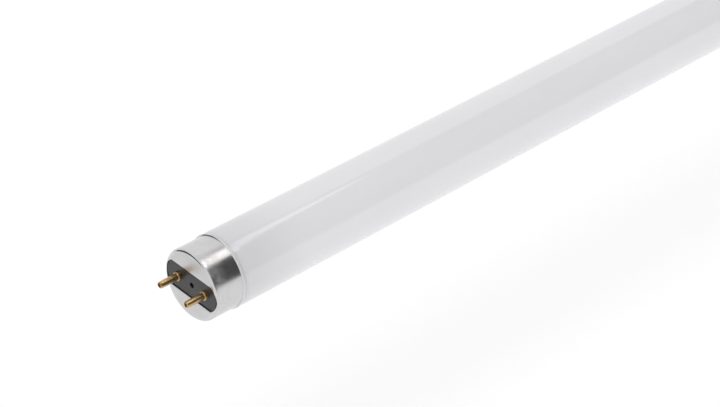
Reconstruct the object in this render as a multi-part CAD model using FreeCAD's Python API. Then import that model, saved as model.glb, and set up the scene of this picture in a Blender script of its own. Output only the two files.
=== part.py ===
"""Linear fluorescent lamp: a sealed glass tube, coated white inside, with a two-pin cap cemented on each end.

Millimetres. X runs along the tube, Y along each pair of pins and Z is up. The origin is the tube's middle.
Each end is modelled in a frame of its own, where x = 0 is the face of the cap and the tube lies towards +x.
"""

import FreeCAD
import Part

import math
import os

from FreeCAD import Vector

# Whole lamp
base_length = 589.0             # from the face of one cap to the face of the other

# Glass barrel, which the caps are made to fit
barrel_diameter = 26.0

# Aluminium cap, drawn from sheet
cap_step = 0.5                  # the cap's wall stands this far inside the surface of the barrel
cap_length = 11.6
cap_sheet = 0.4
cap_front_radius = 1.1          # outside radius between the face and the wall
lip_bend_radius = 0.1           # outside radius of the bend at the flared mouth
lip_angle = 60.0                # degrees that the mouth turns outwards
lip_flange = 0.403              # straight stretch after the bend
slot_width = 9.7                # window across the face, which shows the insulator
slot_rim = 0.4                  # from the end of the window to the outside of the cap
slot_end_swell = 0.9            # the window's ends have this much more radius than half its width

# Insulator plate behind the face
plate_thickness = 1.9
plate_clearance = 0.05          # between the plate's edge and the cap's wall
vent_diameter = 1.8

# Contact pins: hollow, riveted through the plate
pin_spacing = 12.7
pin_diameter = 2.35
pin_reach = 7.5                 # from the face of the cap to the end of the pin
pin_bore = 1.2
nose_diameter = 2.2
nose_length = 1.8               # tapered stretch at the end of the pin
nose_radius = 0.3
tip_hole_diameter = 1.4         # hole in the end of the pin, down to the wire
tip_hole_depth = 0.8
collar_diameter = 3.2
collar_thickness = 1.1
rivet_diameter = 3.4
rivet_thickness = 0.45

# Lead wires, from the press of the stem to the ends of the pins
wire_diameter = 0.6
wire_bend_radius = 1.5
wire_bend_clearance = 1.2       # from the rivet to the wire's corner behind it
wire_splay = 4.2                # length along the tube over which the wire leans out to its pin

# Ends of the glass tube
cement_thickness = 0.3          # between the neck of the glass and the cap
cement_margin = 0.5             # the cement stops this far short of the ends of the straight neck
glass_setback = 4.2             # from the face of the cap to the sealed end of the glass
rim_radius = 0.8
lip_gap = 0.12                  # between the flared mouth of the cap and the shoulder of the glass
shoulder_crown_radius = 6.5
shoulder_root_radius = 3.0
flare_radius = 9.0              # trumpet of the stem inside the sealed end
stem_diameter = 9.2
stem_depth = 18.0               # from the sealed end to the press of the stem
exhaust_diameter = 4.0
exhaust_setback = 1.8           # from the sealed end of the glass to the tip of the exhaust tube

# Places that follow from the sizes above
barrel_radius = barrel_diameter / 2
cap_radius = barrel_radius - cap_step
cap_inner_radius = cap_radius - cap_sheet
corner_radius = cap_front_radius - cap_sheet
lip_turn = math.radians(lip_angle)
lip_edge_radius = cap_sheet / 2
lip_reach = (lip_bend_radius + lip_edge_radius) * math.sin(lip_turn) + lip_flange * math.cos(lip_turn)
lip_start = cap_length - lip_edge_radius - lip_reach
pin_offset = pin_spacing / 2
plate_radius = cap_inner_radius - plate_clearance
plate_front = cap_sheet
plate_back = plate_front + plate_thickness
rivet_back = plate_back + rivet_thickness
neck_radius = cap_inner_radius - cement_thickness
press_depth = glass_setback + stem_depth


def point(x, r):
    return Vector(x, r, 0)


def line(a, b):
    return Part.LineSegment(a, b).toShape()


def arc(center, a, b):
    """Arc of less than half a turn about a centre."""
    middle = (a + b) * 0.5 - center
    middle.normalize()
    return Part.Arc(a, center + middle * (a - center).Length, b).toShape()


def meeting_point(center_a, radius_a, center_b):
    """Where two circles touch that lie outside each other."""
    step = center_b - center_a
    step.normalize()
    return center_a + step * radius_a


def reach_between(radius_a, radius_b, rise):
    """Distance along the tube between the centres of two touching circles whose centres differ by rise."""
    return math.sqrt((radius_a + radius_b) ** 2 - rise ** 2)


def turned(edges):
    """Solid turned about the X axis from a closed outline in the XY plane."""
    face = Part.Face(Part.Wire(Part.__sortEdges__(edges)))
    return face.revolve(Vector(0, 0, 0), Vector(1, 0, 0), 360)


def closed_outline(points):
    return [line(a, b) for a, b in zip(points, points[1:] + points[:1])]


def lip_bend_center():
    return point(lip_start, cap_radius + lip_bend_radius)


def cap_shell():
    """Drawn cup with a rounded front edge and a flared mouth, with a window punched across its face."""
    corner = point(cap_front_radius, cap_radius - cap_front_radius)
    bend = lip_bend_center()
    through = Vector(math.sin(lip_turn), -math.cos(lip_turn), 0)
    outwards = Vector(math.cos(lip_turn), math.sin(lip_turn), 0)
    bend_outside = bend + through * lip_bend_radius
    bend_inside = bend + through * (lip_bend_radius + cap_sheet)
    lip_outside = bend_outside + outwards * lip_flange
    lip_inside = bend_inside + outwards * lip_flange
    lip_end = (lip_outside + lip_inside) * 0.5 + outwards * lip_edge_radius
    face_outside = point(0, corner.y)
    face_inside = point(cap_sheet, corner.y)
    wall_outside = [point(cap_front_radius, cap_radius), point(lip_start, cap_radius)]
    wall_inside = [point(cap_front_radius, cap_inner_radius), point(lip_start, cap_inner_radius)]
    cup = turned([
        line(point(0, 0), face_outside),
        arc(corner, face_outside, wall_outside[0]),
        line(*wall_outside),
        arc(bend, wall_outside[1], bend_outside),
        line(bend_outside, lip_outside),
        Part.Arc(lip_outside, lip_end, lip_inside).toShape(),
        line(lip_inside, bend_inside),
        arc(bend, bend_inside, wall_inside[1]),
        line(*wall_inside),
        arc(corner, wall_inside[0], face_inside),
        line(face_inside, point(cap_sheet, 0)),
        line(point(cap_sheet, 0), point(0, 0)),
    ])
    return cup.cut(window())


def window():
    """Prism of the punched opening: a band with round ends that reach into the front edge of the cap."""
    height = slot_width / 2
    end_radius = height + slot_end_swell
    end = cap_radius - slot_rim
    corner = end - end_radius + math.sqrt(end_radius ** 2 - height ** 2)
    ahead = -cap_front_radius
    left_up, left_down = Vector(ahead, -corner, height), Vector(ahead, -corner, -height)
    right_up, right_down = Vector(ahead, corner, height), Vector(ahead, corner, -height)
    outline = Part.Wire([
        line(left_up, right_up),
        Part.Arc(right_up, Vector(ahead, end, 0), right_down).toShape(),
        line(right_down, left_down),
        Part.Arc(left_down, Vector(ahead, -end, 0), left_up).toShape(),
    ])
    return Part.Face(outline).extrude(Vector(2 * cap_front_radius, 0, 0))


def insulator():
    """Round plate with an edge that follows the cap's inside corner, two pin holes and a vent."""
    edge = point(plate_front + corner_radius, plate_radius - corner_radius)
    front = point(plate_front, edge.y)
    side = point(edge.x, plate_radius)
    back = point(plate_back, plate_radius)
    plate = turned([
        line(point(plate_front, 0), front),
        arc(edge, front, side),
        line(side, back),
        line(back, point(plate_back, 0)),
        line(point(plate_back, 0), point(plate_front, 0)),
    ])
    along = Vector(1, 0, 0)
    holes = [Part.makeCylinder(vent_diameter / 2, plate_back, Vector(0, 0, 0), along)]
    for y in (-pin_offset, pin_offset):
        holes.append(Part.makeCylinder(pin_diameter / 2, plate_back, Vector(0, y, 0), along))
    return plate.cut(holes)


def contact_pin():
    """Hollow pin on the +Y side: tapered nose crimped round the wire, collar, shank and rivet head."""
    tip = -pin_reach
    shaft = pin_diameter / 2
    nose = nose_diameter / 2
    collar = collar_diameter / 2
    rivet = rivet_diameter / 2
    bore = pin_bore / 2
    wire_hole = wire_diameter / 2
    tip_hole = tip_hole_diameter / 2
    tip_hole_end = tip + tip_hole_depth
    collar_front = plate_front - collar_thickness
    collar_round = collar - shaft
    nose_end = point(tip, nose - nose_radius)
    nose_side = point(tip + nose_radius, nose)
    taper_end = point(tip + nose_length, shaft)
    collar_root = point(collar_front, shaft)
    collar_edge = point(collar_front + collar_round, collar)
    rivet_edge = point(plate_back, rivet)
    rivet_end = point(rivet_back, rivet - rivet_thickness)
    path = [
        line(point(tip, tip_hole), nose_end),
        arc(point(tip + nose_radius, nose - nose_radius), nose_end, nose_side),
        line(nose_side, taper_end),
        line(taper_end, collar_root),
        arc(point(collar_edge.x, shaft), collar_root, collar_edge),
        line(collar_edge, point(plate_front, collar)),
        line(point(plate_front, collar), point(plate_front, shaft)),
        line(point(plate_front, shaft), point(plate_back, shaft)),
        line(point(plate_back, shaft), rivet_edge),
        arc(point(plate_back, rivet - rivet_thickness), rivet_edge, rivet_end),
    ]
    hollow = [
        rivet_end,
        point(rivet_back, bore),
        point(tip + nose_length, bore),
        point(tip + nose_length - (bore - wire_hole), wire_hole),
        point(tip_hole_end, wire_hole),
        point(tip_hole_end, tip_hole),
        point(tip, tip_hole),
    ]
    pin = turned(path + [line(a, b) for a, b in zip(hollow, hollow[1:])])
    pin.translate(Vector(0, pin_offset, 0))
    return pin


def lead_wire():
    """Round wire on the +Y side: straight out of the press, leaning out to its pin and up into its nose."""
    root = (stem_diameter + exhaust_diameter) / 4
    lean_end = rivet_back + wire_bend_clearance
    lean_start = lean_end + wire_splay
    corners = [
        point(press_depth, root),
        point(lean_start, root),
        point(lean_end, pin_offset),
        point(tip_hole_depth - pin_reach, pin_offset),
    ]
    turn = math.atan2(pin_offset - root, wire_splay)
    tangent = wire_bend_radius * math.tan(turn / 2)
    edges = []
    start = corners[0]
    for before, corner, after in zip(corners, corners[1:], corners[2:]):
        into = (corner - before).normalize()
        out = (after - corner).normalize()
        bend_start = corner - into * tangent
        bend_end = corner + out * tangent
        inward = (out - into).normalize()
        center = corner + inward * (wire_bend_radius / math.cos(turn / 2))
        edges += [line(start, bend_start), arc(center, bend_start, bend_end)]
        start = bend_end
    edges.append(line(start, corners[-1]))
    section = Part.Wire(Part.makeCircle(wire_diameter / 2, corners[0], Vector(1, 0, 0)))
    return Part.Wire(edges).makePipeShell([section], True, False)


def shoulder_centers():
    """Centres of the shoulder's two arcs: the hollow one on the neck, then the full one under the barrel.

    The full one passes under the flared mouth of the cap, and both are tangent to the straight glass.
    """
    bend = lip_bend_center()
    bend_inside = lip_bend_radius + cap_sheet
    crown_y = barrel_radius - shoulder_crown_radius
    crown_x = bend.x + reach_between(shoulder_crown_radius, bend_inside + lip_gap, bend.y - crown_y)
    root_y = neck_radius + shoulder_root_radius
    root_x = crown_x - reach_between(shoulder_root_radius, shoulder_crown_radius, root_y - crown_y)
    return point(root_x, root_y), point(crown_x, crown_y)


def cement_ring():
    """Basing cement between the neck of the glass and the wall of the cap."""
    neck_start = glass_setback + rim_radius
    neck_end = min(lip_start, shoulder_centers()[0].x)
    start = neck_start + cement_margin
    end = neck_end - cement_margin
    return turned(closed_outline([
        point(start, neck_radius),
        point(end, neck_radius),
        point(end, cap_inner_radius),
        point(start, cap_inner_radius),
    ]))


def glass_end():
    """Outline of one end of the glass, from the tip of the exhaust tube to the start of the barrel."""
    exhaust = exhaust_diameter / 2
    stem = stem_diameter / 2
    tip = point(glass_setback + exhaust_setback, 0)
    tip_center = point(tip.x + exhaust, 0)
    tip_side = point(tip_center.x, exhaust)
    exhaust_root = point(press_depth, exhaust)
    press_edge = point(press_depth, stem)
    rim_center = point(glass_setback + rim_radius, neck_radius - rim_radius)
    flare_y = stem + flare_radius
    flare_center = point(
        rim_center.x + reach_between(flare_radius, rim_radius, flare_y - rim_center.y), flare_y)
    flare_start = point(flare_center.x, stem)
    flare_end = meeting_point(rim_center, rim_radius, flare_center)
    rim_front = point(glass_setback, rim_center.y)
    neck_start = point(rim_center.x, neck_radius)
    root_center, crown_center = shoulder_centers()
    neck_end = point(root_center.x, neck_radius)
    shoulder_middle = meeting_point(root_center, shoulder_root_radius, crown_center)
    barrel = point(crown_center.x, barrel_radius)
    return [
        arc(tip_center, tip, tip_side),
        line(tip_side, exhaust_root),
        line(exhaust_root, press_edge),
        line(press_edge, flare_start),
        arc(flare_center, flare_start, flare_end),
        arc(rim_center, flare_end, rim_front),
        arc(rim_center, rim_front, neck_start),
        line(neck_start, neck_end),
        arc(root_center, neck_end, shoulder_middle),
        arc(crown_center, shoulder_middle, barrel),
    ]


def glass_tube():
    """Sealed tube: straight barrel, necked shoulders under the caps and a stem turned in at each end."""
    left = glass_end()
    for edge in left:
        edge.translate(Vector(-base_length / 2, 0, 0))
    right = [edge.mirror(Vector(0, 0, 0), Vector(1, 0, 0)) for edge in left]
    half_barrel = base_length / 2 - shoulder_centers()[1].x
    half_core = base_length / 2 - glass_setback - exhaust_setback
    barrel = line(point(-half_barrel, barrel_radius), point(half_barrel, barrel_radius))
    axis = line(point(-half_core, 0), point(half_core, 0))
    return turned(left + right + [barrel, axis])


def at_end(shape, turn):
    """Moves a piece from the frame of an end to its place on the lamp: turn is 0 at -X and 180 at +X."""
    placed = shape.copy()
    placed.translate(Vector(-base_length / 2, 0, 0))
    placed.rotate(Vector(0, 0, 0), Vector(0, 0, 1), turn)
    return placed


def on_other_side(shape):
    """Turns a piece half round the tube's axis, from the +Y side of an end to its -Y side."""
    turned_round = shape.copy()
    turned_round.rotate(Vector(0, 0, 0), Vector(1, 0, 0), 180)
    return turned_round


def export(name, shape):
    assert len(shape.Solids) == 1 and shape.isValid(), name
    shape.exportStep(f"parts/{name}.step")
    print(f"{name}: {shape.Volume:.2f} mm3")


def main():
    os.makedirs("parts", exist_ok=True)
    export("glass_tube", glass_tube())
    for end, turn, sides in (("left", 0, ("back", "front")), ("right", 180, ("front", "back"))):
        export(f"{end}_cap_shell", at_end(cap_shell(), turn))
        export(f"{end}_insulator", at_end(insulator(), turn))
        export(f"{end}_cement_ring", at_end(cement_ring(), turn))
        for name, piece in (("pin", contact_pin()), ("lead_wire", lead_wire())):
            export(f"{end}_{sides[0]}_{name}", at_end(piece, turn))
            export(f"{end}_{sides[1]}_{name}", at_end(on_other_side(piece), turn))


main()
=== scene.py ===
# %% [markdown]
# # A fluorescent lamp, dressed over its solids
#
# The lamp is a straight glass tube, coated white inside, with a drawn aluminium cap cemented on
# each end. Every cap has a window across its face, a dark insulator board behind the window and two
# hollow brass pins. The solids of all these pieces are loaded first and stay where they are. The
# lesson then makes a finer mesh for each piece that can be seen, gives every piece its finish, and
# lights it as a studio would.

# %% Load the frame
import math

import bmesh
import bpy
from mathutils import Matrix, Quaternion, Vector


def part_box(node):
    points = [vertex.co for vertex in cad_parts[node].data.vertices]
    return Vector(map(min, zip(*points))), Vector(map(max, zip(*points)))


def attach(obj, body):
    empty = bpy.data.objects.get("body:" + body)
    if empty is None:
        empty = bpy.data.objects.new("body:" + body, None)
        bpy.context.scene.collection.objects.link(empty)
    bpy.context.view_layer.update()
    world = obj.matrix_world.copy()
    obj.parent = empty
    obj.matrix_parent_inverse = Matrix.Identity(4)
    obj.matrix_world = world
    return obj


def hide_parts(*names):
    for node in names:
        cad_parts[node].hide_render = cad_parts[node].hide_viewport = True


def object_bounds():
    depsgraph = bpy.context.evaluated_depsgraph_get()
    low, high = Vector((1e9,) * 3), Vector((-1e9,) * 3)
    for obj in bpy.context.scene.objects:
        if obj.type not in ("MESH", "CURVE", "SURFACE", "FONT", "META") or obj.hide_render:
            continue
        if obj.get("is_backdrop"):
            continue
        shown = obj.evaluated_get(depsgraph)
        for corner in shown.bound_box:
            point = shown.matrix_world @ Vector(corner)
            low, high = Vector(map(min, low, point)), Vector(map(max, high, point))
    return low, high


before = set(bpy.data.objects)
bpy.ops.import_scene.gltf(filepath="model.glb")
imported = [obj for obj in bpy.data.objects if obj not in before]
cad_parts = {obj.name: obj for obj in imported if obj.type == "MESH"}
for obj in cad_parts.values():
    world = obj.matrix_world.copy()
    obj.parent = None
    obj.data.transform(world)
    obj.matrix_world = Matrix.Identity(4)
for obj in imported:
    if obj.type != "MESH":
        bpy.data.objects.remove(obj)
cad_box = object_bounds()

mm = 0.001
scene = bpy.context.scene
scene.view_settings.view_transform = "Standard"
print("solids loaded:", len(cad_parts))

# %% [markdown]
# ## The camera
#
# The camera comes first, because every later look is judged through it. It stands to the left of
# the near end, in front of the tube and above it, and looks along the tube with a long lens. A
# camera could be turned by three angles, but a place to stand and a point to look at are easier to
# picture, with a small roll at the end.

# %% Set up the camera
camera_place = Vector((-667.2, -418.5, 446.3)) * mm
camera_target = Vector((-221.2, -1.3, -1.2)) * mm
camera_roll = math.radians(4.63)


def add_object(name, data):
    """Puts a mesh, a camera or a light into the scene."""
    added = bpy.data.objects.new(name, data)
    scene.collection.objects.link(added)
    return added


camera_data = bpy.data.cameras.new("camera")
camera_data.sensor_width = 36.0
camera_data.lens = 113.4
camera = add_object("camera", camera_data)
camera.rotation_mode = "QUATERNION"
camera.location = camera_place
camera_look = camera_target - camera_place
level_look = camera_look.to_track_quat("-Z", "Y")
camera.rotation_quaternion = level_look @ Quaternion((0, 0, 1), camera_roll)
scene.camera = camera
print("camera stands %.0f mm from its target" % (camera_look.length / mm))

# %% [markdown]
# A picture is 720 by 407 pixels here, so a point's pixel can be worked out from the lens by similar
# triangles. The near face's pixel is printed, to show where the cap lands in the picture.

# %% Measure where the near cap lands in the picture
picture_width = 720
picture_height = 407


def pixel(point):
    seen = camera.matrix_basis.inverted() @ point
    reach = camera_data.lens / camera_data.sensor_width * picture_width / -seen.z
    return picture_width / 2 + seen.x * reach, picture_height / 2 - seen.y * reach


face_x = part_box("left_cap_shell")[0].x
print("near face at pixel %.1f, %.1f" % pixel(Vector((face_x, 0, 0))))

# %% [markdown]
# ## Turned shapes
#
# Nearly everything on this lamp is round: glass is shaped on a lathe, caps are drawn and pins are
# turned. So one helper turns a profile about the X axis. A Screw modifier could do it too, but
# rings in a bmesh let a profile end on the axis without a hole. Round stretches of a profile are
# arcs, so a profile has few numbers of its own.

# %% Arcs and a lathe
def arc(center, start, end, steps):
    """Points from start to end on the shorter arc about a center, all as (along, out)."""
    radius = math.dist(center, start)
    first = math.atan2(start[1] - center[1], start[0] - center[0])
    last = math.atan2(end[1] - center[1], end[0] - center[0])
    sweep = (last - first + math.pi) % math.tau - math.pi
    turns = [first + sweep * k / steps for k in range(steps + 1)]
    return [(center[0] + radius * math.cos(t), center[1] + radius * math.sin(t)) for t in turns]


def bridge(bm, ring_a, ring_b):
    """Faces between two rings of points, or a fan where one of them is a single point."""
    for k in range(max(len(ring_a), len(ring_b))):
        corners = [ring_a[k % len(ring_a)], ring_a[(k + 1) % len(ring_a)]]
        corners += [ring_b[(k + 1) % len(ring_b)], ring_b[k % len(ring_b)]]
        bm.faces.new(list(dict.fromkeys(corners)))


def lathe(profile, sides, closed=False):
    """Turns (along, out) points about the X axis. A point on the axis becomes a pole."""
    bm = bmesh.new()
    rings = []
    for along, out in profile:
        count = sides if out > 0 else 1
        turns = [math.tau * k / count for k in range(count)]
        rings.append([bm.verts.new((along, out * math.cos(t), out * math.sin(t))) for t in turns])
    following = rings[1:] + rings[:1] if closed else rings[1:]
    for ring_a, ring_b in zip(rings, following):
        bridge(bm, ring_a, ring_b)
    return bm


print("a quarter arc in 4 steps has", len(arc((0, 0), (1, 0), (0, 1), 4)), "points")

# %% [markdown]
# A mesh becomes a piece in one place, so that all pieces are shaded alike. Edges that turn sharply
# stay crisp, and a weighted-normal modifier lets the large faces set the shading, so flat and
# straight parts look flat and straight. Points closer than a thousandth of a millimetre are one
# point that two stretches of a profile share.

# %% Turn a mesh into a piece
crisp_angle = math.radians(32)
same_point = 0.001 * mm


def closed_mesh(name, bm, place):
    """Merges shared points, turns all faces outwards and moves the mesh to its place."""
    bmesh.ops.remove_doubles(bm, verts=bm.verts[:], dist=same_point)
    bmesh.ops.recalc_face_normals(bm, faces=bm.faces[:])
    mesh = bpy.data.meshes.new(name)
    bm.to_mesh(mesh)
    bm.free()
    mesh.transform(place)
    return mesh


def make_piece(name, bm, place=Matrix.Identity(4)):
    mesh = closed_mesh(name, bm, place)
    mesh.shade_smooth()
    mesh.set_sharp_from_angle(angle=crisp_angle)
    piece = add_object(name, mesh)
    even = piece.modifiers.new("even_shading", "WEIGHTED_NORMAL")
    even.keep_sharp = True
    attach(piece, "root")
    print(name, "has", len(mesh.polygons), "faces")
    return piece


print("edges sharper than %.0f degrees stay crisp" % math.degrees(crisp_angle))

# %% [markdown]
# ## The ends of the lamp
#
# Both ends are alike, so an end is worked out once in a frame of its own, where x = 0 is the face of
# the cap and the tube lies towards +x. The left end only slides to its place, and the right end is
# then turned half round the Z axis. That turn swaps front and back, so the names of the two pins
# change places too.

# %% Place an end
to_left_end = Matrix.Translation((face_x, 0, 0))
to_right_end = Matrix.Rotation(math.pi, 4, "Z") @ to_left_end
ends = {"left": to_left_end, "right": to_right_end}
print("cap faces are %.1f mm apart" % (-2 * face_x / mm))

# %% [markdown]
# ## Sizes of the cap
#
# A cap is drawn from thin aluminium sheet: a flat face, a rounded front edge, a straight wall and a
# mouth that is flared out to meet the glass. The length and the mouth's reach come from the solid.
# The sheet and its bends are named here, because the glass shoulder under the flared mouth needs
# them too.

# %% Name the sizes of the cap
cap_low, cap_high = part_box("left_cap_shell")
sheet = 0.4 * mm
front_radius = 1.1 * mm
mouth_bend = 0.1 * mm
mouth_turn = math.radians(60)
mouth_flange = 0.403 * mm

mouth_edge = sheet / 2
bend_middle = mouth_bend + mouth_edge
cap_length = cap_high.x - cap_low.x
mouth_rise = bend_middle * (1 - math.cos(mouth_turn)) + mouth_flange * math.sin(mouth_turn)
mouth_reach = bend_middle * math.sin(mouth_turn) + mouth_flange * math.cos(mouth_turn)
cap_radius = min(cap_high.y, cap_high.z) - mouth_rise
cap_inside = cap_radius - sheet
mouth_start = cap_length - mouth_edge - mouth_reach
mouth_center = (mouth_start, cap_radius + mouth_bend)
print("cap wall has a radius of %.3f mm" % (cap_radius / mm))

# %% [markdown]
# ## The glass tube
#
# The barrel is drawn glass, and its ends are heated and necked in, so that the cap, with its flared
# mouth, is no wider than the barrel. The neck meets the barrel in a shoulder of two arcs that
# touch: a hollow one, then a full one. Inside, the glass is turned back in as a trumpet and ends in
# the press of the stem. It is all one lathe profile, and the full arc is placed by what it has to
# clear: the inside of the cap's flared mouth.

# %% Work out the shoulder of the glass
glass_low, glass_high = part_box("glass_tube")
barrel_radius = min(glass_high.y, glass_high.z)
glass_setback = glass_low.x - face_x
cement = 0.3 * mm
mouth_gap = 0.12 * mm
crown_radius = 6.5 * mm
root_radius = 3.0 * mm


def reach_between(radius_a, radius_b, rise):
    """Distance along the tube between two touching circles, one higher than the other by rise."""
    return math.sqrt((radius_a + radius_b) ** 2 - rise ** 2)


def touching_point(center_a, radius_a, center_b):
    """The point where a circle touches the next one."""
    share = radius_a / math.dist(center_a, center_b)
    return tuple(a + (b - a) * share for a, b in zip(center_a, center_b))


neck_radius = cap_inside - cement
crown_out = barrel_radius - crown_radius
crown_along = mouth_start + reach_between(
    crown_radius, mouth_bend + sheet + mouth_gap, mouth_center[1] - crown_out)
crown_center = (crown_along, crown_out)
root_out = neck_radius + root_radius
root_along = crown_along - reach_between(root_radius, crown_radius, root_out - crown_out)
root_center = (root_along, root_out)
shoulder_middle = touching_point(root_center, root_radius, crown_center)
print("barrel starts %.2f mm behind the face" % (crown_along / mm))

# %% [markdown]
# The stem is hidden by the cap, but the mesh keeps it, so that it is the same piece of glass as the
# solid.

# %% Turn the glass
rim_radius = 0.8 * mm
flare_radius = 9.0 * mm
stem_radius = 4.6 * mm
stem_depth = 18.0 * mm
exhaust_radius = 2.0 * mm
exhaust_setback = 1.8 * mm
glass_sides = 192

press = glass_setback + stem_depth
tip = glass_setback + exhaust_setback
rim_center = (glass_setback + rim_radius, neck_radius - rim_radius)
flare_out = stem_radius + flare_radius
flare_along = rim_center[0] + reach_between(flare_radius, rim_radius, flare_out - rim_center[1])
flare_center = (flare_along, flare_out)
flare_end = touching_point(rim_center, rim_radius, flare_center)

glass_end = arc((tip + exhaust_radius, 0), (tip, 0), (tip + exhaust_radius, exhaust_radius), 6)
glass_end += [(press, exhaust_radius), (press, stem_radius)]
glass_end += arc(flare_center, (flare_along, stem_radius), flare_end, 10)
glass_end += arc(rim_center, flare_end, (glass_setback, rim_center[1]), 4)
glass_end += arc(rim_center, (glass_setback, rim_center[1]), (rim_center[0], neck_radius), 6)
glass_end += arc(root_center, (root_along, neck_radius), shoulder_middle, 10)
glass_end += arc(crown_center, shoulder_middle, (crown_along, barrel_radius), 14)

left_profile = [(face_x + along, out) for along, out in glass_end]
right_profile = [(-along, out) for along, out in reversed(left_profile)]
lamp_glass = make_piece("lamp_glass", lathe(left_profile + right_profile, glass_sides))
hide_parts("glass_tube")

# %% [markdown]
# ## The caps
#
# The window punched through the face reaches into the rounded front edge, so the cap isn't a plain
# turned shape. A Boolean could cut it, but that leaves long thin faces that shade badly on polished
# metal. Seen from the middle of the face, though, every direction meets the window's edge once. So
# the cap is made of sections, one at each angle round the axis, and each section starts where the
# window ends at that angle.

# %% Outline of the window
window_half = 4.85 * mm
window_swell = 0.9 * mm
window_rim = 0.4 * mm

window_end_radius = window_half + window_swell
window_end_center = cap_radius - window_rim - window_end_radius
window_corner = window_end_center + math.sqrt(window_end_radius ** 2 - window_half ** 2)
corner_turn = math.atan2(window_half, window_corner)


def window_reach(turn, grow):
    """Distance from the axis to the window's edge at one angle, with the window grown."""
    across, up = abs(math.cos(turn)), abs(math.sin(turn))
    if math.atan2(up, across) > corner_turn:
        return (window_half + grow) / up
    rest = (window_end_radius + grow) ** 2 - (window_end_center * up) ** 2
    return window_end_center * across + math.sqrt(rest)


print("window is %.2f mm long" % (2 * window_reach(0, 0) / mm))

# %% [markdown]
# A section runs round the sheet: over the rounded edge of the window, out along the face, over the
# front edge, along the wall, round the flared mouth and back on the inside. Where the window has
# eaten the flat of the face, the flat's points fall together and are merged later.

# %% Stretches of a section
corner_out = cap_radius - front_radius
inside_radius = front_radius - sheet


def front_depth(out, radius):
    """How far behind the face a surface of the front lies: flat, then round with a radius."""
    over = max(0.0, out - corner_out)
    return front_radius - math.sqrt(radius ** 2 - over ** 2)


def front_corner(start_out, radius, steps):
    """Points over the front edge, from a distance from the axis to the wall."""
    first = math.asin(max(0.0, start_out - corner_out) / radius)
    turns = [first + (math.pi / 2 - first) * k / steps for k in range(steps + 1)]
    return [(front_radius - radius * math.cos(t), corner_out + radius * math.sin(t)) for t in turns]


def flat_between(out_a, out_b, depth, steps):
    return [(depth, out_a + (out_b - out_a) * k / steps) for k in range(steps + 1)]


print("flat of the face ends %.2f mm from the axis" % (corner_out / mm))

# %% [markdown]
# The punch leaves a crisp edge along the sides of the window. At its ends it breaks through the
# drawn front edge, and there the sheet is dragged over into a larger radius. The radius grows
# evenly between the two.

# %% Edge of the window
side_round = 0.08 * mm
end_round = 0.28 * mm
edge_steps = 4


def punch_radius(turn):
    aside = math.atan2(abs(math.sin(turn)), abs(math.cos(turn)))
    return side_round + (end_round - side_round) * max(0.0, 1 - aside / corner_turn)


def front_lean(out):
    """Angle by which the sheet leans back at a distance from the axis."""
    return math.asin(max(0.0, out - corner_out) / front_radius)


def window_edge(turn):
    """Points over the punched radius, from the square cut to the outside of the sheet."""
    radius = punch_radius(turn)
    points = []
    for k in range(edge_steps + 1):
        roll = math.pi / 2 * k / edge_steps
        out = window_reach(turn, radius * (1 - math.cos(roll)))
        below = radius * (1 - math.sin(roll))
        lean = front_lean(out)
        along = front_depth(out, front_radius) + below * math.cos(lean)
        points.append((along, out - below * math.sin(lean)))
    return points


print("punched edge is %.2f mm round at the window's ends" % (punch_radius(0) / mm))

# %% [markdown]
# At the other end of the wall, the mouth is turned outwards over a tight bend and runs on as a
# short straight flange with a rounded rim. It is the same all round, so its points are worked out
# once, from distances through the sheet and along the flange.

# %% The flared mouth
def mouth_point(through, outwards):
    """A point of the turned sheet: how far from the bend's center, and how far up the flange."""
    along = mouth_center[0] + through * math.sin(mouth_turn) + outwards * math.cos(mouth_turn)
    out = mouth_center[1] - through * math.cos(mouth_turn) + outwards * math.sin(mouth_turn)
    return along, out


lip_outside = mouth_point(mouth_bend, mouth_flange)
lip_center = mouth_point(bend_middle, mouth_flange)
lip_tip = mouth_point(bend_middle, mouth_flange + mouth_edge)
lip_inside = mouth_point(mouth_bend + sheet, mouth_flange)
mouth = arc(mouth_center, (mouth_start, cap_radius), mouth_point(mouth_bend, 0), 8)
mouth += arc(lip_center, lip_outside, lip_tip, 5) + arc(lip_center, lip_tip, lip_inside, 5)
mouth += arc(mouth_center, mouth_point(mouth_bend + sheet, 0), (mouth_start, cap_inside), 6)
print("mouth rises %.2f mm from the wall" % (mouth_rise / mm))

# %% [markdown]
# A whole section strings these stretches together. On the inside of the sheet it stops at the
# square cut, which leans with the sheet where the window reaches into the front edge.

# %% A whole section
def cap_section(turn):
    grown = window_reach(turn, punch_radius(turn))
    bare = window_reach(turn, 0)
    bare -= sheet * math.sin(front_lean(bare))
    points = window_edge(turn)
    points += flat_between(grown, max(grown, corner_out), front_depth(grown, front_radius), 3)
    points += front_corner(grown, front_radius, 10)
    points += mouth
    points += reversed(front_corner(bare, inside_radius, 6))
    points += flat_between(max(bare, corner_out), bare, front_depth(bare, inside_radius), 2)
    return points


print("a section has", len(cap_section(0)), "points")

# %% [markdown]
# The angles are spread evenly, but the four corners of the window must be among them, or they would
# be cut off.

# %% Skin the sections into caps
end_steps = 14
side_steps = 32
quarter = [corner_turn * k / end_steps for k in range(end_steps)]
quarter += [corner_turn + (math.pi / 2 - corner_turn) * k / side_steps for k in range(side_steps)]
half_turn = quarter + [math.pi / 2] + [math.pi - t for t in reversed(quarter[1:])]
cap_turns = half_turn + [t + math.pi for t in half_turn]


def cap_mesh():
    bm = bmesh.new()
    columns = []
    for turn in cap_turns:
        across, up = math.cos(turn), math.sin(turn)
        section = cap_section(turn)
        columns.append([bm.verts.new((along, out * across, out * up)) for along, out in section])
    for column_a, column_b in zip(columns, columns[1:] + columns[:1]):
        bridge(bm, column_a, column_b)
    return bm


caps = {}
for end, place in ends.items():
    caps[end] = make_piece(f"{end}_cap", cap_mesh(), place)
    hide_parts(f"{end}_cap_shell")

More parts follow.
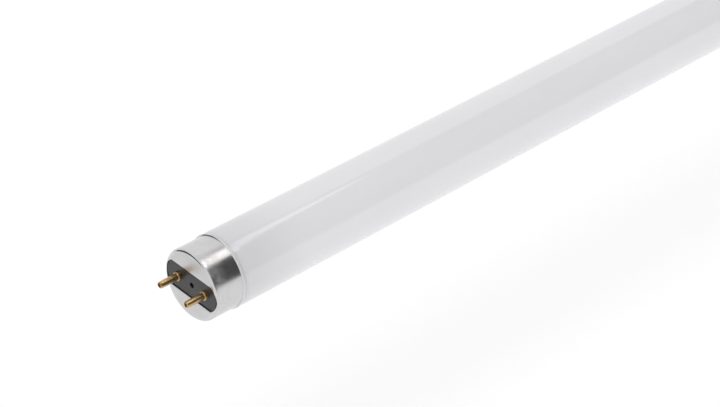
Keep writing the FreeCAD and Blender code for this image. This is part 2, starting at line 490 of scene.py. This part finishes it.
# %% [markdown]
# ## The insulator boards
#
# Behind each window sits a round board with a small vent in its middle. It is a lathe profile with
# a hole on the axis. The two pin holes are off the axis, and the board is flat there, so here a
# Boolean is the simple way.

# %% Turn and drill the boards
board_low, board_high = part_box("left_insulator")
pin_low, pin_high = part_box("left_back_pin")
board_radius = board_high.y
board_front = board_low.x - face_x
board_back = board_high.x - face_x
board_edge = inside_radius
board_flat = board_radius - board_edge
edge_back = board_front + board_edge
vent_radius = 0.9 * mm
vent_chamfer = 0.1 * mm
board_sides = 96
drill_sides = 48
pin_radius = 1.175 * mm
pin_offset = (pin_low.y + pin_high.y) / 2

board_profile = [(board_back, vent_radius), (board_front + vent_chamfer, vent_radius)]
board_profile += [(board_front, vent_radius + vent_chamfer)]
board_profile += arc((edge_back, board_flat), (board_front, board_flat), (edge_back, board_radius), 6)
board_profile += [(board_back, board_radius)]


def drill(piece, place, y):
    """Cuts a pin hole through a board at one side of the axis."""
    depth = 2 * board_back
    bm = lathe([(0, 0), (0, pin_radius), (depth, pin_radius), (depth, 0)], drill_sides)
    cutter = add_object("drill", closed_mesh("drill", bm, place @ Matrix.Translation((0, y, 0))))
    hole = piece.modifiers.new("pin_hole", "BOOLEAN")
    hole.object = cutter
    piece.modifiers.move(len(piece.modifiers) - 1, 0)
    drilled = piece.evaluated_get(bpy.context.evaluated_depsgraph_get())
    drilled_mesh = bpy.data.meshes.new_from_object(drilled)
    piece.modifiers.remove(hole)
    piece.data = drilled_mesh
    bpy.data.objects.remove(cutter)


boards = {}
for end, place in ends.items():
    boards[end] = make_piece(f"{end}_board", lathe(board_profile, board_sides, closed=True), place)
    for y in (-pin_offset, pin_offset):
        drill(boards[end], place, y)
    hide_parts(f"{end}_insulator")
    print(f"{end}_board drilled, with", len(boards[end].data.polygons), "faces")

# %% [markdown]
# ## The contact pins
#
# A pin is a small tube of brass: a nose that is pressed in round the lead wire, a straight shaft, a
# collar with a rounded front that stands on the board, and a rivet head behind it. It is one closed
# profile, hollow inside, and the dark hole in its nose is real depth.

# %% Turn the pins
nose_radius = 1.1 * mm
nose_round = 0.3 * mm
nose_length = 1.8 * mm
collar_radius = 1.6 * mm
collar_thickness = 1.1 * mm
rivet_thickness = 0.45 * mm
bore_radius = 0.6 * mm
wire_radius = 0.3 * mm
tip_hole_radius = 0.7 * mm
tip_hole_depth = 0.8 * mm
pin_sides = 64

pin_tip = pin_low.x - face_x
tip_hole_end = pin_tip + tip_hole_depth
nose_back = pin_tip + nose_round
nose_flat = nose_radius - nose_round
shaft_start = pin_tip + nose_length
collar_front = board_front - collar_thickness
collar_edge = collar_front + (collar_radius - pin_radius)
rivet_radius = (pin_high.y - pin_low.y) / 2
rivet_flat = rivet_radius - rivet_thickness
rivet_back = board_back + rivet_thickness

pin_profile = [(pin_tip, tip_hole_radius)]
pin_profile += arc((nose_back, nose_flat), (pin_tip, nose_flat), (nose_back, nose_radius), 6)
pin_profile += [(shaft_start, pin_radius)]
pin_profile += arc(
    (collar_edge, pin_radius), (collar_front, pin_radius), (collar_edge, collar_radius), 8)
pin_profile += [(board_front, collar_radius), (board_front, pin_radius), (board_back, pin_radius)]
pin_profile += arc((board_back, rivet_flat), (board_back, rivet_radius), (rivet_back, rivet_flat), 6)
pin_profile += [(rivet_back, bore_radius), (shaft_start, bore_radius)]
pin_profile += [(shaft_start - bore_radius + wire_radius, wire_radius)]
pin_profile += [(tip_hole_end, wire_radius), (tip_hole_end, tip_hole_radius)]

contacts = []
for end, place in ends.items():
    for side, y in (("front", -pin_offset), ("back", pin_offset)):
        local_y = y if end == "left" else -y
        pin_place = place @ Matrix.Translation((0, local_y, 0))
        turned_pin = lathe(pin_profile, pin_sides, closed=True)
        contact = make_piece(f"{end}_{side}_contact", turned_pin, pin_place)
        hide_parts(f"{end}_{side}_pin")
        contacts.append(contact)

# %% [markdown]
# ## Building finishes from nodes
#
# Every finish is a Principled shader with a few procedural nodes in front of it. Small helpers keep
# the cells short: each adds one node, sets it up and hands back the socket that the next one needs.
# All patterns read the object's own coordinates in metres, so their scale is a number of waves per
# metre and they stay on the lamp in any view.

# %% Node helpers
def new_finish(name, **settings):
    """A material with a Principled shader, with some sockets set to plain values."""
    finish = bpy.data.materials.new(name)
    finish.use_nodes = True
    shader = finish.node_tree.nodes["Principled BSDF"]
    for socket, value in settings.items():
        shader.inputs[socket.replace("_", " ").title()].default_value = value
    return finish, finish.node_tree, shader


def add_node(tree, kind, inputs, **settings):
    """Adds a node. A plain value goes on a socket, and a socket is linked to it."""
    node = tree.nodes.new(kind)
    for name, value in settings.items():
        setattr(node, name, value)
    for name, value in inputs.items():
        if isinstance(value, bpy.types.NodeSocket):
            tree.links.new(value, node.inputs[name])
        else:
            node.inputs[name].default_value = value
    return node


print("finishes start from a Principled shader")

# %% [markdown]
# A pattern is noise at some number of waves per metre. Its value is stretched to the range that is
# wanted, and then blends two colours or sets a roughness.

# %% Patterns
noise_roughness = 0.55


def place_on(tree, waves):
    """Object coordinates times the number of waves per metre along X, Y and Z."""
    where = add_node(tree, "ShaderNodeTexCoord", {}).outputs["Object"]
    return add_node(tree, "ShaderNodeMapping", {"Vector": where, "Scale": waves}).outputs["Vector"]


def noise(tree, waves, detail=3.0):
    where = place_on(tree, waves)
    inputs = {"Vector": where, "Scale": 1.0, "Detail": detail, "Roughness": noise_roughness}
    return add_node(tree, "ShaderNodeTexNoise", inputs).outputs["Fac"]


def remap(tree, value, low, high, to_low, to_high):
    """Stretches a value from one range to another, with soft ends."""
    inputs = {"Value": value, "From Min": low, "From Max": high, "To Min": to_low, "To Max": to_high}
    node = add_node(tree, "ShaderNodeMapRange", inputs, interpolation_type="SMOOTHSTEP")
    return node.outputs["Result"]


def blend(tree, share, color_a, color_b):
    """Mixes two colours by a share between 0 and 1."""
    node = add_node(tree, "ShaderNodeMix", {}, data_type="RGBA")
    sockets = {"Factor_Float": share, "A_Color": color_a, "B_Color": color_b}
    for socket in node.inputs:
        if socket.identifier in sockets:
            value = sockets[socket.identifier]
            if isinstance(value, bpy.types.NodeSocket):
                tree.links.new(value, socket)
            else:
                socket.default_value = (*value, 1.0)
    return next(socket for socket in node.outputs if socket.identifier == "Result_Color")


print("patterns are noise, stretched and blended")

# %% [markdown]
# Wear and handling follow the form, so a finish also has to know where it is on the lamp: how far
# along from the middle, and how far out from the axis. A fine relief is a bump of a real depth.

# %% Places and relief
def coordinate(tree, axis):
    where = add_node(tree, "ShaderNodeTexCoord", {}).outputs["Object"]
    return add_node(tree, "ShaderNodeSeparateXYZ", {"Vector": where}).outputs[axis]


def math_node(tree, operation, *values, clamp=False):
    inputs = dict(enumerate(values))
    node = add_node(tree, "ShaderNodeMath", inputs, operation=operation, use_clamp=clamp)
    return node.outputs[0]


def from_middle(tree):
    """Distance along the lamp from its middle, the same at both ends."""
    return math_node(tree, "ABSOLUTE", coordinate(tree, "X"))


def from_axis(tree):
    """Distance from the lamp's axis."""
    across = place_on(tree, (0, 1, 1))
    return add_node(tree, "ShaderNodeVectorMath", {0: across}, operation="LENGTH").outputs["Value"]


def relief(tree, height, depth):
    """Bump from a height between 0 and 1 that stands for a real depth in metres."""
    inputs = {"Height": height, "Distance": depth, "Strength": 1.0}
    return add_node(tree, "ShaderNodeBump", inputs).outputs["Normal"]


print("places are measured from the middle and from the axis")

# %% [markdown]
# ## Coated glass
#
# The white of the tube is a powder coating on the inside of clear glass. From outside it looks like
# a glossy white surface: the powder scatters the light, and the glass in front reflects the room
# sharply. The base colour is greyer for a few centimetres next to each cap, and the coating is a
# little uneven everywhere. Drawn glass is never quite straight, so a long shallow relief makes the
# reflections along the barrel waver.

# %% Coated glass
cap_line = -face_x - cap_length
grey_zone = (cap_line - 34 * mm, cap_line + 4 * mm)
white_tones = (0.735, 0.728, 0.750), (0.750, 0.744, 0.765)
grey_tones = (0.622, 0.616, 0.633), (0.637, 0.631, 0.649)
waver_depth = 0.12 * mm


def coated_glass():
    finish, tree, shader = new_finish("coated_glass")
    greying = remap(tree, from_middle(tree), *grey_zone, 0.0, 1.0)
    clouds = remap(tree, noise(tree, (25, 60, 60)), 0.3, 0.7, 0.0, 1.0)
    white = blend(tree, clouds, *white_tones)
    grey = blend(tree, clouds, *grey_tones)
    tree.links.new(blend(tree, greying, white, grey), shader.inputs["Base Color"])
    wipe = remap(tree, noise(tree, (40, 150, 150)), 0.35, 0.75, 0.05, 0.11)
    tree.links.new(wipe, shader.inputs["Roughness"])
    waver = relief(tree, noise(tree, (14, 45, 45), detail=1.0), waver_depth)
    tree.links.new(waver, shader.inputs["Normal"])
    return finish


lamp_glass.data.materials.append(coated_glass())
print("glass is greyed from %.0f mm off the middle" % (grey_zone[0] / mm))

# %% [markdown]
# ## Drawn aluminium
#
# The caps are bright drawn sheet. The wall is ironed smooth by the die, clearest next to the mouth,
# and hands and sockets have left a speckled haze on its front half. The front edge is burnished,
# and the flat of the face isn't drawn at all and stays satin. The punched edge of the window is
# rough, and its colour is painted dark as the shade in the gap behind the window. The trimmed rim of
# the mouth is rough, and a pale, less metallic colour on it is a painted highlight for the bright
# reflection along the flared lip. All of these zones are worked out from two distances: how far a
# point lies from the middle of the lamp, and how far from its axis.

# %% Zones of the aluminium
haze_zone = (-face_x - 7 * mm, -face_x - 2 * mm)
polish_zone = (-face_x - 9 * mm, -face_x - 2 * mm)
face_zone = (corner_out - 0.4 * mm, corner_out)
wall_zone = (cap_radius - 0.4 * mm, cap_radius - 0.15 * mm)
rim_zone = (cap_radius + 0.34 * mm, cap_radius + 0.42 * mm)
# painted shade: the punched edge's dark colour lies in this zone
cut_shade_zone = (front_radius - 0.12 * mm, front_radius - 0.05 * mm)
punch_zone = (front_radius - 0.06 * mm, front_radius - 0.01 * mm)


def skin_reach(tree, middle, axis):
    """The cap's front radius on its outer skin, and less where the metal has been cut into."""
    over = math_node(tree, "SUBTRACT", axis, corner_out, clamp=True)
    ahead = math_node(tree, "SUBTRACT", middle, -face_x - front_radius, clamp=True)
    corner = add_node(tree, "ShaderNodeCombineXYZ", {"X": ahead, "Y": over}).outputs[0]
    return add_node(tree, "ShaderNodeVectorMath", {0: corner}, operation="LENGTH").outputs["Value"]


print("rim of the mouth starts %.2f mm from the axis" % (rim_zone[0] / mm))

# %% [markdown]
# The zones then pick the colour, how metallic the skin looks and how rough it is. Dirt on metal
# hides its shine, so the specks of the haze are less metallic than the clean wall beside them.

# %% Drawn aluminium
metal_tones = (0.630, 0.623, 0.630), (0.600, 0.592, 0.598)
# painted shade: the dark colour of the punched edge stands for the shade in the gap behind the window
cut_shade_tone = (0.09, 0.09, 0.092)
# painted highlight: the rim's pale colour stands for the bright reflection along the flared lip
rim_sheen_tone = (0.74, 0.735, 0.735)
clean_shine = 0.96
# less metallic on the rim, part of its painted highlight
rim_sheen_metallic = 0.4
rough_cut = 0.45
peel_depth = 0.004 * mm


def drawn_aluminium():
    finish, tree, shader = new_finish("drawn_aluminium")
    middle, axis = from_middle(tree), from_axis(tree)
    smudges = remap(tree, noise(tree, (160, 160, 160)), 0.35, 0.7, 0.0, 1.0)
    reach = skin_reach(tree, middle, axis)
    # painted shade on the punched edge
    cut = remap(tree, reach, *cut_shade_zone, 1.0, 0.0)
    # the rim is rough, and its pale, less metallic colour is a painted highlight
    rim = remap(tree, axis, *rim_zone, 0.0, 1.0)
    drawn = blend(tree, cut, blend(tree, smudges, *metal_tones), cut_shade_tone)
    tree.links.new(blend(tree, rim, drawn, rim_sheen_tone), shader.inputs["Base Color"])

    specks = remap(tree, noise(tree, (700, 900, 900)), 0.35, 0.65, 0.90, 0.74)
    haze = remap(tree, middle, *haze_zone, clean_shine, specks)
    bright = remap(tree, axis, *wall_zone, clean_shine, haze)
    tree.links.new(remap(tree, rim, 0.0, 1.0, bright, rim_sheen_metallic), shader.inputs["Metallic"])

    polish = remap(tree, middle, *polish_zone, 0.21, 0.25)
    scuffs = remap(tree, noise(tree, (450, 200, 200), detail=1.5), 0.38, 0.68, -0.01, 0.02)
    wall = math_node(tree, "ADD", polish, scuffs)
    face = remap(tree, axis, *face_zone, 0.35, 0.19)
    punched = remap(tree, reach, *punch_zone, rough_cut, face)
    turned = remap(tree, axis, *wall_zone, punched, wall)
    tree.links.new(remap(tree, rim, 0.0, 1.0, turned, rough_cut), shader.inputs["Roughness"])
    peel = relief(tree, noise(tree, (500, 300, 300), detail=2.0), peel_depth)
    tree.links.new(peel, shader.inputs["Normal"])
    return finish


aluminium = drawn_aluminium()
for cap in caps.values():
    cap.data.materials.append(aluminium)
print("caps finished")

# %% [markdown]
# ## Moulded board
#
# The insulator is moulded in a black plastic. What makes it look grey is its gloss: the white floor
# is mirrored in it, blurred, and the pins are mirrored as dark patches beside their collars. A fine
# grain keeps it from looking wet. On the rounded edge of the board the gloss is turned down, which
# paints the shade in the gap round the board as a dark rim.

# %% Moulded board
black_tones = (0.012, 0.012, 0.013), (0.024, 0.024, 0.025)
# painted shade: the gloss is turned down here to darken the board's rounded edge
dull_shade_zone = (board_radius - 0.6 * mm, board_radius - 0.3 * mm)
board_grain_depth = 0.003 * mm


def moulded_board():
    finish, tree, shader = new_finish("moulded_board")
    grain = noise(tree, (2600, 2600, 2600), detail=4.0)
    patches = remap(tree, noise(tree, (220, 220, 220)), 0.3, 0.7, 0.0, 1.0)
    tree.links.new(blend(tree, grain, *black_tones), shader.inputs["Base Color"])
    tree.links.new(remap(tree, patches, 0.0, 1.0, 0.27, 0.34), shader.inputs["Roughness"])
    # turning the gloss down on the rounded edge paints the shade in the gap as a dark rim
    gloss = remap(tree, from_axis(tree), *dull_shade_zone, 0.5, 0.2)
    tree.links.new(gloss, shader.inputs["Specular IOR Level"])
    tree.links.new(relief(tree, grain, board_grain_depth), shader.inputs["Normal"])
    return finish


board_finish = moulded_board()
for board in boards.values():
    board.data.materials.clear()
    board.data.materials.append(board_finish)
print("boards finished")

# %% [markdown]
# ## Pin brass
#
# The pins are turned brass, bright but handled: the colour drifts from gold to a browner tarnish in
# patches, and fine lathe rings run round the shaft.

# %% Pin brass
brass_tones = (0.60, 0.42, 0.21), (0.36, 0.22, 0.10)
lathe_ring_depth = 0.004 * mm


def pin_brass():
    finish, tree, shader = new_finish("turned_brass", metallic=0.94)
    tarnish = remap(tree, noise(tree, (500, 900, 900), detail=4.0), 0.4, 0.72, 0.0, 1.0)
    tree.links.new(blend(tree, tarnish, *brass_tones), shader.inputs["Base Color"])
    tree.links.new(remap(tree, tarnish, 0.0, 1.0, 0.29, 0.42), shader.inputs["Roughness"])
    rings = relief(tree, noise(tree, (6000, 120, 120), detail=2.0), lathe_ring_depth)
    tree.links.new(rings, shader.inputs["Normal"])
    return finish


brass = pin_brass()
for contact in contacts:
    contact.data.materials.append(brass)
print("pins finished")

# %% [markdown]
# ## The hidden pieces
#
# The cement and the lead wires keep their solids, because they are hidden and their shapes are
# right. They still get a finish each: brown baked cement with a coarse grain, and dull drawn nickel
# wire.

# %% Cement and lead wire
cement_tones = (0.16, 0.09, 0.05), (0.34, 0.22, 0.13)
nickel_tones = (0.42, 0.40, 0.37), (0.60, 0.58, 0.54)
cement_grain_depth = 0.05 * mm


def baked_cement():
    finish, tree, shader = new_finish("baked_cement")
    grain = noise(tree, (1200, 1200, 1200), detail=5.0)
    tree.links.new(blend(tree, grain, *cement_tones), shader.inputs["Base Color"])
    tree.links.new(remap(tree, grain, 0.3, 0.7, 0.7, 0.9), shader.inputs["Roughness"])
    tree.links.new(relief(tree, grain, cement_grain_depth), shader.inputs["Normal"])
    return finish


def drawn_wire():
    finish, tree, shader = new_finish("drawn_wire", metallic=1.0)
    streaks = noise(tree, (150, 5000, 5000), detail=2.0)
    tree.links.new(blend(tree, streaks, *nickel_tones), shader.inputs["Base Color"])
    tree.links.new(remap(tree, streaks, 0.3, 0.7, 0.28, 0.45), shader.inputs["Roughness"])
    return finish


hidden_finishes = {"cement_ring": baked_cement(), "lead_wire": drawn_wire()}
for name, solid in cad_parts.items():
    for ending, finish in hidden_finishes.items():
        if name.endswith(ending):
            solid.data.materials.clear()
            solid.data.materials.append(finish)
            print(name, "keeps its solid")

# %% [markdown]
# ## Floor and white surroundings
#
# The lamp is held by its pins, so it hovers a hand's width over a white floor that has no edge in
# view. The floor has to look white without throwing more light on the lamp, so a Light Path node
# adds a little brightness to it only where the camera, a reflection or a clear surface sees it. Its
# own shading stays, and so does the soft shadow.

# %% White floor
floor_drop = 110 * mm
floor_half = 30.0
floor_mesh = bpy.data.meshes.new("floor")
floor_bm = bmesh.new()
bmesh.ops.create_grid(floor_bm, x_segments=1, y_segments=1, size=floor_half)
floor_bm.to_mesh(floor_mesh)
floor_bm.free()
floor = add_object("floor", floor_mesh)
floor.location.z = -floor_drop
floor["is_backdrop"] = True
print("floor lies %.0f mm under the lamp's middle" % (floor_drop / mm))

# %% [markdown]
# The finish of the floor is matt paper with the added brightness on top. The same Light Path helper
# serves the room behind the floor.

# %% Finish of the floor
floor_glow = 0.08
paper_tones = (0.940, 0.940, 0.940), (0.950, 0.950, 0.950)


def seen_directly(tree):
    """1 for rays from the camera, a reflection or a clear surface, and 0 for gathered light."""
    path = add_node(tree, "ShaderNodeLightPath", {}).outputs
    either = math_node(tree, "MAXIMUM", path["Is Camera Ray"], path["Is Glossy Ray"])
    return math_node(tree, "MAXIMUM", either, path["Is Transmission Ray"])


floor_finish, floor_tree, floor_shader = new_finish("floor_white", roughness=0.9)
paper_tone = blend(floor_tree, noise(floor_tree, (90, 90, 90)), *paper_tones)
floor_tree.links.new(paper_tone, floor_shader.inputs["Base Color"])
floor_shader.inputs["Specular IOR Level"].default_value = 0.0
glow = math_node(floor_tree, "MULTIPLY", seen_directly(floor_tree), floor_glow)
floor_shader.inputs["Emission Color"].default_value = (1, 1, 1, 1)
floor_tree.links.new(glow, floor_shader.inputs["Emission Strength"])
floor_mesh.materials.append(floor_finish)
print("floor glows by", floor_glow, "where it is seen")

# %% [markdown]
# The world is a white room. It looks white at a strength of 1, and the light that it sheds is a
# little weaker, so that a colour renders about as it is written.

# %% White room
room_light = 0.90
world = bpy.data.worlds.new("white_room")
world.use_nodes = True
scene.world = world
room = world.node_tree
room.nodes.clear()
shed = add_node(room, "ShaderNodeBackground", {"Color": (1, 1, 1, 1), "Strength": room_light})
shown = add_node(room, "ShaderNodeBackground", {"Color": (1, 1, 1, 1), "Strength": 1.0})
either = add_node(room, "ShaderNodeMixShader", {0: seen_directly(room)})
room.links.new(shed.outputs[0], either.inputs[1])
room.links.new(shown.outputs[0], either.inputs[2])
room_output = add_node(room, "ShaderNodeOutputWorld", {})
room.links.new(either.outputs[0], room_output.inputs["Surface"])
print("white room sheds", room_light)

# %% [markdown]
# ## Reflections in polished metal
#
# A polished cap in an all-white room looks like grey paint. A product photographer hangs black
# flags round it, which draw dark bands into the metal, and a softbox over it, which draws a bright
# one. Here they are sails of cloth that only reflections can see, so they take no light away and
# never stand in the camera's way. Each is laid out round the near cap, in metres.

# %% Sew the sails
near_cap = Vector((face_x + cap_length / 2, 0, 0))


def sail(name, finish, edge):
    """A sheet of cloth stretched between corners and over its middle."""
    middle = sum(edge, Vector()).normalized() * edge[0].length
    count = len(edge)
    mesh = bpy.data.meshes.new(name)
    mesh.from_pydata([*edge, middle], [], [(k, (k + 1) % count, count) for k in range(count)])
    mesh.materials.append(finish)
    hung = add_object(name, mesh)
    hung.location = near_cap
    hung.visible_camera = False
    hung.visible_diffuse = False
    hung.visible_transmission = False
    hung.visible_shadow = False
    hung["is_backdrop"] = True
    print(name, "is sewn from", count, "panels")


print("sails hang round x = %.0f mm" % (near_cap.x / mm))

# %% [markdown]
# The cloth takes no light of its own and only glows in its two tones, so that a sail is mirrored as
# bright as it is written. The tones mix in a coarse weave, or fade from one side to the other.

# %% Weave the cloth
def cloth(name, thin, thick, fade=None):
    """Cloth in two tones. A fade is an axis and the two places on it between which they change."""
    finish, tree, shader = new_finish(name, base_color=(0.0, 0.0, 0.0, 1.0), roughness=1.0)
    shader.inputs["Specular IOR Level"].default_value = 0.0
    shader.inputs["Emission Strength"].default_value = 1.0
    if fade is None:
        share = noise(tree, (3, 3, 3))
    else:
        axis, start, end = fade
        share = remap(tree, coordinate(tree, axis), start, end, 0.0, 1.0)
    tree.links.new(blend(tree, share, thin, thick), shader.inputs["Emission Color"])
    return finish


black_cloth = cloth("black_cloth", (0.03, 0.03, 0.03), (0.06, 0.06, 0.06))
grey_cloth = cloth("grey_cloth", (0.66, 0.66, 0.67), (0.70, 0.70, 0.71))
print("black and grey cloth woven")

# %% [markdown]
# The corners of a flag are given by where they stand as seen from the near cap: a turn round from
# +X towards +Y, and a height, in degrees. The great flag makes the room above and in front of the
# cap dark, and the cap's near side with it. The low flag stands close to the far side of the pins
# and draws the two dark lines: one round the front edge and one in the flared mouth.

# %% Set up the flags
great_reach = 6.0
low_reach = 0.19


def toward(turn, height):
    """A direction from the near cap, one metre long."""
    turn, height = math.radians(turn), math.radians(height)
    level = math.cos(height)
    return Vector((level * math.cos(turn), level * math.sin(turn), math.sin(height)))


great_corners = [
    (20, 35.5), (21.5, 41), (19, 46.3), (19.6, 48.2), (22.6, 50.3), (24.7, 51.6), (28.7, 51.7),
    (48.6, 67.5), (90, 70), (128, 65), (150, 54), (-148, 53), (-140, 3), (-95, 2.5), (-57, 4),
    (-45, 8.5), (-38, 11)]
low_corners = [
    (104, -3), (108, 6), (115, 16), (124, 21), (134, 20), (144, 18), (153, 17), (161, 14),
    (163, 4), (160, -8), (157, -17), (150, -20), (138, -19), (120, -13), (108, -8)]
sail("great_flag", black_cloth, [toward(*corner) * great_reach for corner in great_corners])
sail("low_flag", black_cloth, [toward(*corner) * low_reach for corner in low_corners])

# %% [markdown]
# The softbox hangs level over the lamp with its long side along it, and ends a little behind the
# cap, so that its reflection in the glass runs out there. Reflections see its cloth front,
# brightest in one corner where its bulb sits, and a grey scrim beside it that softens the step to
# the white room.

# %% Softbox
softbox_height = 2.5
corner_height = softbox_height - 0.01
scrim_height = softbox_height + 0.2
softbox_corners = [
    (1.64, 0.36), (1.66, -0.12), (1.65, -0.25), (1.64, -0.42), (1.61, -0.58), (1.58, -0.82),
    (-1.50, -0.78), (-1.50, 0.18), (-0.80, 0.20), (1.57, 0.33)]
corner_points = [
    (1.61, 0.50), (1.68, 0.46), (1.75, 0.44), (1.90, 0.40), (1.88, 0.17), (1.79, 0.03),
    (1.70, -0.10), (1.61, -0.16)]
scrim_corners = [
    (1.95, 0.88), (1.89, 0.96), (1.87, 1.02), (1.91, 1.36), (1.80, 1.22), (-0.75, 1.13),
    (-1.50, 1.10), (-1.50, 0.0), (1.95, 0.0)]


def level_edge(corners, height):
    return [Vector((x, y, height)) for x, y in corners]


softbox_cloth = cloth(
    "softbox_cloth", (2.80, 2.75, 2.68), (1.55, 1.52, 1.48), fade=("Y", -0.35, 0.10))
bright_cloth = cloth(
    "bright_cloth", (2.95, 2.89, 2.82), (1.95, 1.91, 1.86), fade=("X", 1.66, 1.84))
sail("softbox", softbox_cloth, level_edge(softbox_corners, softbox_height))
sail("bright_corner", bright_cloth, level_edge(corner_points, corner_height))
sail("scrim", grey_cloth, level_edge(scrim_corners, scrim_height))

# %% [markdown]
# The light that the softbox sheds comes from an area lamp of the same size, kept low so that it
# only lifts the upper side of the tube a little. The camera and reflections don't see it, because
# the sails already stand for it there.

# %% Key light
def area_light(name, length, width, watts, place):
    data = bpy.data.lights.new(name, "AREA")
    data.shape = "RECTANGLE"
    data.size = length
    data.size_y = width
    data.energy = watts
    light = add_object(name, data)
    light.location = place
    light.visible_camera = False
    light.visible_glossy = False
    print(name, "gives", watts, "W")
    return light


key_place = near_cap + Vector((0.1, -0.25, softbox_height))
area_light("key_light", length=3.2, width=1.1, watts=8.0, place=key_place)

# %% [markdown]
# The floor alone leaves the underside of the glass a little dull, so a weak fill lamp lies on it
# and shines up.

# %% Fill light
fill_height = 5 * mm
fill_place = Vector((0, 0, fill_height - floor_drop))
fill_light = area_light("fill_light", length=0.8, width=0.3, watts=0.24, place=fill_place)
fill_light.rotation_euler.x = math.pi

# %% [markdown]
# ## Sizes, and the end
#
# The dressed lamp must not outgrow its solids. The two boxes are written side by side, so that they
# can be compared.

# %% Write the sizes and finish
dressed_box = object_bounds()
for name, box in (("solids", cad_box), ("pieces", dressed_box)):
    print(name, "reach", [round(v / mm, 2) for v in box[1]], "mm")
